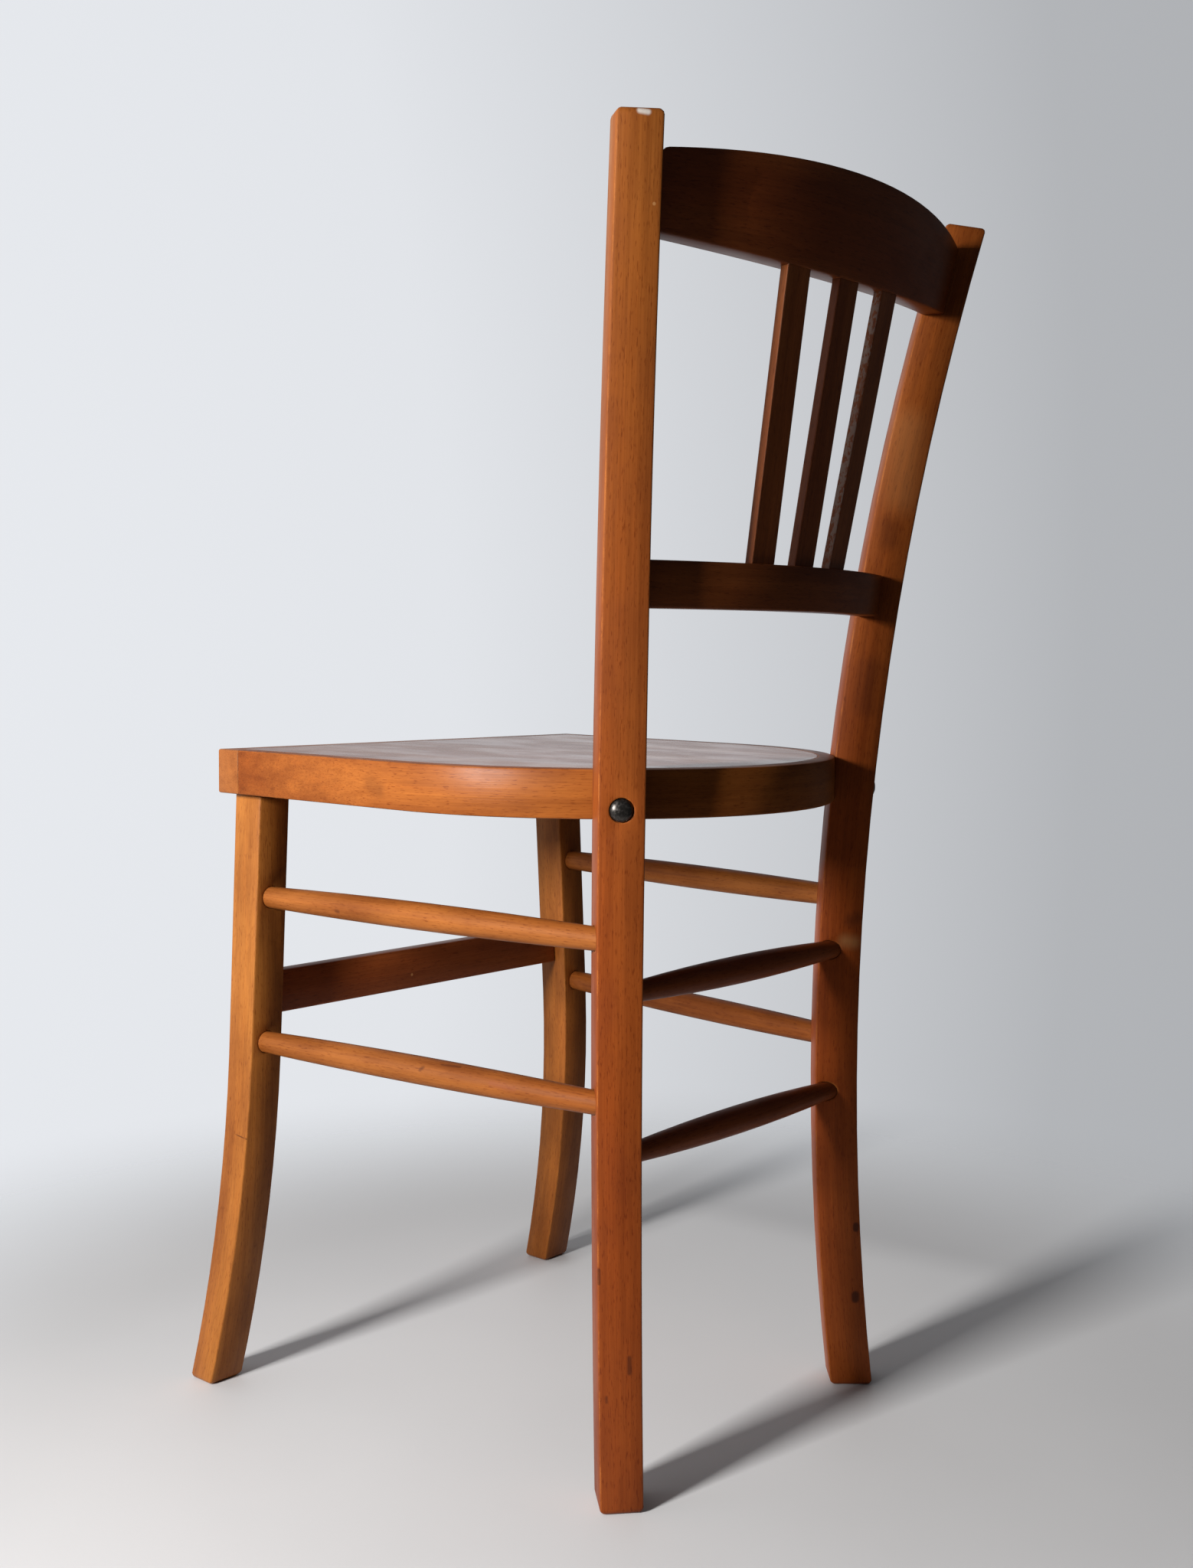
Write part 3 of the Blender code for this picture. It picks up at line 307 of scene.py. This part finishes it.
# Grain: each function gives a space in metres, across (x, y) and along (z) the grain


def along_axis(axis):
    def space(g, place):
        turn = Vector(axis).to_track_quat("Z", "Y").inverted().to_euler()
        return g.add("ShaderNodeMapping", {"Vector": place, "Rotation": turn}).outputs[0]

    return space


def bent_along_z(out, bend_height, radius, below_only):
    """For an upright bar whose centre line leaves the straight by h squared / 2 R."""

    def space(g, place):
        h = g.math("SUBTRACT", bend_height, g.split(place)["Z"])
        if below_only:
            h = g.math("MAXIMUM", h, 0.0)
        shift = g.math("DIVIDE", g.math("MULTIPLY", h, h), 2 * radius)
        return g.vector("SUBTRACT", place, g.scaled(out, shift))

    return space


def bowed_along_x(bow):
    """For a rail that runs along x and is bowed along y."""

    def space(g, place):
        parts = g.split(place)
        x = parts["X"]
        drop = g.math("MULTIPLY", g.math("MULTIPLY", x, x), bow / RAIL_HALF_SPAN**2)
        return g.joined(parts["Z"], g.math("ADD", parts["Y"], drop), x)

    return space


def round_the_hoop(g, place):
    about = g.vector("SUBTRACT", place, HOOP_CENTRE)
    parts = g.split(about)
    out = g.length(g.vector("MULTIPLY", about, (1.0, 1.0, 0.0)))
    turned = g.math("MULTIPLY", g.math("ARCTAN2", parts["X"], parts["Y"]), HOOP_MEAN_RADIUS)
    return g.joined(out, parts["Z"], turned)


def main_axis(node):
    """The direction in which a piece is longest, from its own points."""
    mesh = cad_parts[node].data
    points = np.empty(len(mesh.vertices) * 3)
    mesh.vertices.foreach_get("co", points)
    points = points.reshape(-1, 3)
    axis = np.linalg.svd(points - points.mean(axis=0), full_matrices=False)[2][0]
    return tuple(float(value) for value in axis)


def grain_of(node):
    side = -1.0 if node.endswith("_right") else 1.0
    if node.startswith("back_post"):
        out = (side * math.cos(POST_OUT_ANGLE), math.sin(POST_OUT_ANGLE), 0.0)
        return bent_along_z(out, POST_BEND_HEIGHT, POST_BEND_RADIUS, below_only=False)
    if node.startswith("front_leg"):
        return bent_along_z((0.0, -1.0, 0.0), SABRE_HEIGHT, SABRE_RADIUS, below_only=True)
    if node in RAIL_BOWS:
        return bowed_along_x(RAIL_BOWS[node])
    if node == "seat_hoop":
        return round_the_hoop
    if node == "seat_panel":
        return along_axis((0.0, 1.0, 0.0))
    return along_axis(main_axis(node))


# Wood


def figure(g, space, squeeze, scale, detail, roughness):
    return g.noise(g.vector("MULTIPLY", space, (1.0, 1.0, squeeze)), scale, detail, roughness)


def stained(g, space, finish, streak, fibre, blotch):
    """The colour of the sound wood: two tones, streaks, fibres, blotches and dark flecks."""
    tone = g.fade(figure(g, space, *TONE_NOISE), *TONE_SPAN)
    colour = g.mix(tone, rgba(finish.deep), rgba(finish.light))
    colour = g.tinted(colour, g.ramp(streak, STREAK_STOPS))
    colour = g.tinted(colour, g.ramp(fibre, FIBRE_STOPS))
    colour = g.tinted(colour, g.ramp(blotch, BLOTCH_STOPS), finish.mottle)
    return g.tinted(colour, g.ramp(figure(g, space, *FLECK_NOISE), FLECK_STOPS))


def worn_and_highlit(g, place, colour, arris, light):
    """Arrises rubbed lighter, unevenly: worn varnish, and partly a painted highlight along the
    edges.
    """
    wear_and_highlight = g.fade(g.noise(place, *ARRIS_WEAR_AND_HIGHLIGHT_NOISE), *ARRIS_WEAR_AND_HIGHLIGHT_SPAN, *ARRIS_WEAR_AND_HIGHLIGHT_LEVELS)
    return g.mix(g.math("MULTIPLY", arris, wear_and_highlight), colour, rgba(light, ARRIS_WEAR_AND_HIGHLIGHT_LIGHTER))


def flaked(g, place, space, normal, colour):
    """Pale speckles where the varnish has flaked off the narrow face."""
    towards = g.fade(g.dot(normal, FLAKED_FACING), *FLAKED_COSINES)
    patch = g.noise(place, *FLAKED_PATCH_NOISE)
    patch = g.fade(patch, *FLAKED_PATCH_SPAN, *FLAKED_PATCH_LEVELS)
    flake = g.fade(figure(g, space, *FLAKE_NOISE), *FLAKE_SPAN)
    mask = g.math("MULTIPLY", flake, g.math("MULTIPLY", patch, towards))
    return g.mix(mask, colour, rgba(FLAKED_COLOUR))


def stroke(g, place, start, end, radius, soft):
    """1 along the line from start to end, and 0 beyond the radius."""
    a = Vector(start)
    run = Vector(end) - a
    offset = g.vector("SUBTRACT", place, tuple(a))
    if run.length > 0:
        share = g.math("DIVIDE", g.dot(offset, tuple(run)), run.length_squared)
        share = g.add("ShaderNodeClamp", {0: share}).outputs[0]
        offset = g.vector("SUBTRACT", offset, g.scaled(tuple(run), share))
    return g.fade(g.length(offset), radius, radius * (1 - soft))


def marked(g, place, colour, marks):
    for start, end, radius, soft, strength, tint in marks:
        mask = g.math("MULTIPLY", stroke(g, place, start, end, radius, soft), strength)
        colour = g.mix(mask, colour, rgba(tint))
    return colour


def wood_roughness(g, blotch, arris, roughness):
    levels = [roughness + step for step in GLOSS_STEPS]
    varnish = g.fade(blotch, *GLOSS_SPAN, *levels)
    return g.math("ADD", varnish, g.math("MULTIPLY", arris, ARRIS_ROUGHER))


def wood(node, finish, offset):
    material, g, shader = new_material(f"beech_{node}")
    place = g.object_place()
    space = g.vector("ADD", grain_of(node)(g, place), offset)
    streak = figure(g, space, *STREAK_NOISE)
    fibre = figure(g, space, *FIBRE_NOISE)
    blotch = figure(g, space, *BLOTCH_NOISE)
    normal = g.add("ShaderNodeNewGeometry").outputs["Normal"]
    inputs = {"Radius": ARRIS_RADIUS}
    rounded = g.add("ShaderNodeBevel", inputs, samples=ARRIS_SAMPLES).outputs[0]
    arris = g.fade(g.dot(rounded, normal), *ARRIS_COSINES)

    colour = stained(g, space, finish, streak, fibre, blotch)
    # Painted light and shade: the posts' tint changes with height
    if node in POST_PAINTED_SHADE_TINTS:
        colour = g.tinted(colour, g.ramp(g.split(place)["Z"], POST_PAINTED_SHADE_TINTS[node]))
    # Lighter arrises: wear, and partly a painted highlight along the edges
    colour = worn_and_highlit(g, place, colour, arris, finish.light)
    if node == FLAKED_PIECE:
        colour = flaked(g, place, space, normal, colour)
    colour = marked(g, place, colour, MARKS.get(node, ()))
    g.put(shader.inputs["Base Color"], colour)

    g.put(shader.inputs["Roughness"], wood_roughness(g, blotch, arris, finish.roughness))
    shader.inputs["Specular IOR Level"].default_value = finish.shine
    streaks = g.math("MULTIPLY", streak, STREAK_HEIGHT)
    height = g.math("ADD", streaks, g.math("MULTIPLY", fibre, FIBRE_HEIGHT))
    g.put(shader.inputs["Normal"], g.bump(height, GRAIN_RELIEF, rounded))
    return material


# Metal


def metal(name, colour, roughness):
    material, g, shader = new_material(name)
    rub = g.noise(g.object_place(), *RUB_NOISE)
    rubbed = g.mix(g.fade(rub, *RUB_SPAN), rgba(colour), rgba(colour, RUB_LIGHTER))
    g.put(shader.inputs["Base Color"], rubbed)
    levels = [roughness + step for step in RUB_GLOSS_STEPS]
    g.put(shader.inputs["Roughness"], g.fade(rub, *RUB_GLOSS_SPAN, *levels))
    shader.inputs["Metallic"].default_value = METALLIC
    g.put(shader.inputs["Normal"], g.bump(rub, METAL_RELIEF))
    return material


# Dressing


def dress(node, material):
    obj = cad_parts[node]
    obj.data.materials.clear()
    obj.data.materials.append(material)


def dress_nodes():
    black = metal(*BLACK_STEEL)
    zinc = metal(*ZINC)
    for index, node in enumerate(sorted(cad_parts)):
        kind = next((k for k in FINISHES if node.startswith(k)), None)
        if kind:
            offset = tuple(step * index for step in FIGURE_STEP)
            dress(node, wood(node, FINISHES[kind], offset))
        elif node.startswith("seat_bolt"):
            dress(node, black)
        else:
            dress(node, zinc)


def shading_group():
    """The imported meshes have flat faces, so this welds them and smooths them by angle."""
    tree = bpy.data.node_groups.new("smooth_by_angle", "GeometryNodeTree")
    tree.is_modifier = True
    for way in ("INPUT", "OUTPUT"):
        tree.interface.new_socket("Geometry", in_out=way, socket_type="NodeSocketGeometry")
    g = Graph(tree)
    geometry = g.add("NodeGroupInput").outputs[0]
    inputs = {"Geometry": geometry, "Distance": WELD_DISTANCE}
    geometry = g.add("GeometryNodeMergeByDistance", inputs).outputs[0]
    inputs = {"Geometry": geometry, "Name": "custom_normal"}
    geometry = g.add("GeometryNodeRemoveAttribute", inputs).outputs[0]
    inputs = {"Geometry": geometry, "Shade Smooth": True}
    geometry = g.add("GeometryNodeSetShadeSmooth", inputs, domain="FACE").outputs[0]
    angle = g.add("GeometryNodeInputMeshEdgeAngle").outputs["Unsigned Angle"]
    inputs = {0: angle, 1: SHARP_ANGLE}
    sharp = g.add("FunctionNodeCompare", inputs, operation="GREATER_THAN").outputs[0]
    inputs = {"Geometry": geometry, "Selection": sharp, "Shade Smooth": False}
    geometry = g.add("GeometryNodeSetShadeSmooth", inputs, domain="EDGE").outputs[0]
    g.add("NodeGroupOutput", {0: geometry})
    return tree


def smooth_nodes():
    group = shading_group()
    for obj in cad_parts.values():
        obj.modifiers.new("shading", "NODES").node_group = group


# Stage, light and camera


def build_world():
    """The camera sees SEEN_STOPS, and everything else is lit by LIGHT_STOPS."""
    world = bpy.data.worlds.new("studio")
    bpy.context.scene.world = world
    world.use_nodes = True
    world.node_tree.nodes.clear()
    g = Graph(world.node_tree)
    place = g.add("ShaderNodeTexCoord").outputs["Generated"]
    bright = (math.cos(BRIGHT_AZIMUTH), math.sin(BRIGHT_AZIMUTH), 0.0)
    share = g.math("ADD", g.math("MULTIPLY", g.dot(place, bright), 0.5), 0.5)
    skies = []
    for stops in (LIGHT_STOPS, SEEN_STOPS):
        level = g.ramp(share, [(at, (value,) * 3) for at, value in stops])
        colour = g.tinted(level, rgba(STUDIO_TINT))
        skies.append(g.add("ShaderNodeBackground", {0: colour}).outputs[0])
    camera_ray = g.add("ShaderNodeLightPath").outputs["Is Camera Ray"]
    sky = g.add("ShaderNodeMixShader", {0: camera_ray, 1: skies[0], 2: skies[1]})
    g.add("ShaderNodeOutputWorld", {0: sky.outputs[0]})


def floor_paint():
    """Camera, glossy and transmission rays see pale paint, and bounced light a darker one."""
    material, g, shader = new_material("floor_paint")
    place = g.object_place()
    path = g.add("ShaderNodeLightPath").outputs
    mirrored = g.math("MAXIMUM", path["Is Glossy Ray"], path["Is Transmission Ray"])
    seen = g.math("MAXIMUM", path["Is Camera Ray"], mirrored)
    cloud = g.fade(g.noise(place, *FLOOR_CLOUD_NOISE), *FLOOR_CLOUD_SPAN)
    away = g.fade(g.length(place), *FLOOR_FADE)
    paint = g.mix(cloud, *(rgba(FLOOR_SEEN, level) for level in FLOOR_CLOUD_LEVELS))
    paint = g.mix(away, paint, rgba(FLOOR_FAR))
    g.put(shader.inputs["Base Color"], g.mix(seen, rgba(FLOOR_BOUNCE), paint))
    g.put(shader.inputs["Roughness"], g.fade(cloud, 0.0, 1.0, *FLOOR_ROUGHNESS))
    shader.inputs["Specular IOR Level"].default_value = FLOOR_SHINE
    grit = g.noise(place, *FLOOR_GRIT_NOISE)
    g.put(shader.inputs["Normal"], g.bump(grit, FLOOR_RELIEF))
    clear = g.add("ShaderNodeBsdfTransparent").outputs[0]
    blend = g.add("ShaderNodeMixShader", {0: away, 1: shader.outputs[0], 2: clear})
    g.put(g.tree.nodes["Material Output"].inputs["Surface"], blend.outputs[0])
    return material


def build_floor():
    mesh = bpy.data.meshes.new("floor")
    turns = [2 * math.pi * i / FLOOR_SIDES for i in range(FLOOR_SIDES)]
    points = [(FLOOR_RADIUS * math.cos(t), FLOOR_RADIUS * math.sin(t), 0.0) for t in turns]
    mesh.from_pydata(points, [], [list(range(FLOOR_SIDES))])
    mesh.materials.append(floor_paint())
    place_in_scene("floor", mesh)


def build_key():
    data = bpy.data.lights.new("key", "AREA")
    data.shape = "SQUARE"
    data.size = KEY_SIZE
    data.energy = KEY_WATTS
    data.spread = KEY_SPREAD
    light = place_in_scene("key", data)
    light.visible_camera = False
    light.location = KEY_PLACE
    light.rotation_euler = (light.location - Vector(KEY_AIM)).to_track_quat("Z", "Y").to_euler()


def build_camera():
    data = bpy.data.cameras.new("camera")
    data.sensor_width = SENSOR_MM
    data.lens = FOCAL_PX * SENSOR_MM / PHOTO_HEIGHT_PX
    camera = place_in_scene("camera", data)
    turn = Matrix.Rotation(math.radians(CAMERA_AZIMUTH), 4, "Z")
    tilt = Matrix.Rotation(math.radians(90 - CAMERA_DOWN), 4, "X")
    camera.matrix_world = Matrix.Translation(CAMERA_PLACE) @ turn @ tilt
    bpy.context.scene.camera = camera
    bpy.context.scene.view_settings.view_transform = "Standard"


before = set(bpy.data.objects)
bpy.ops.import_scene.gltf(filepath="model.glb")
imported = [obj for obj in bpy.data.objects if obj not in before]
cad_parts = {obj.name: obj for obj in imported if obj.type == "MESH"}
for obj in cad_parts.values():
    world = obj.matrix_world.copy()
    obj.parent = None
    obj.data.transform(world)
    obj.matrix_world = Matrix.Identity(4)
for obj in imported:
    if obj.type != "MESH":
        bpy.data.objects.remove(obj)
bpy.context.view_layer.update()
build_camera()
build_world()
build_key()
build_floor()
smooth_nodes()
dress_nodes()
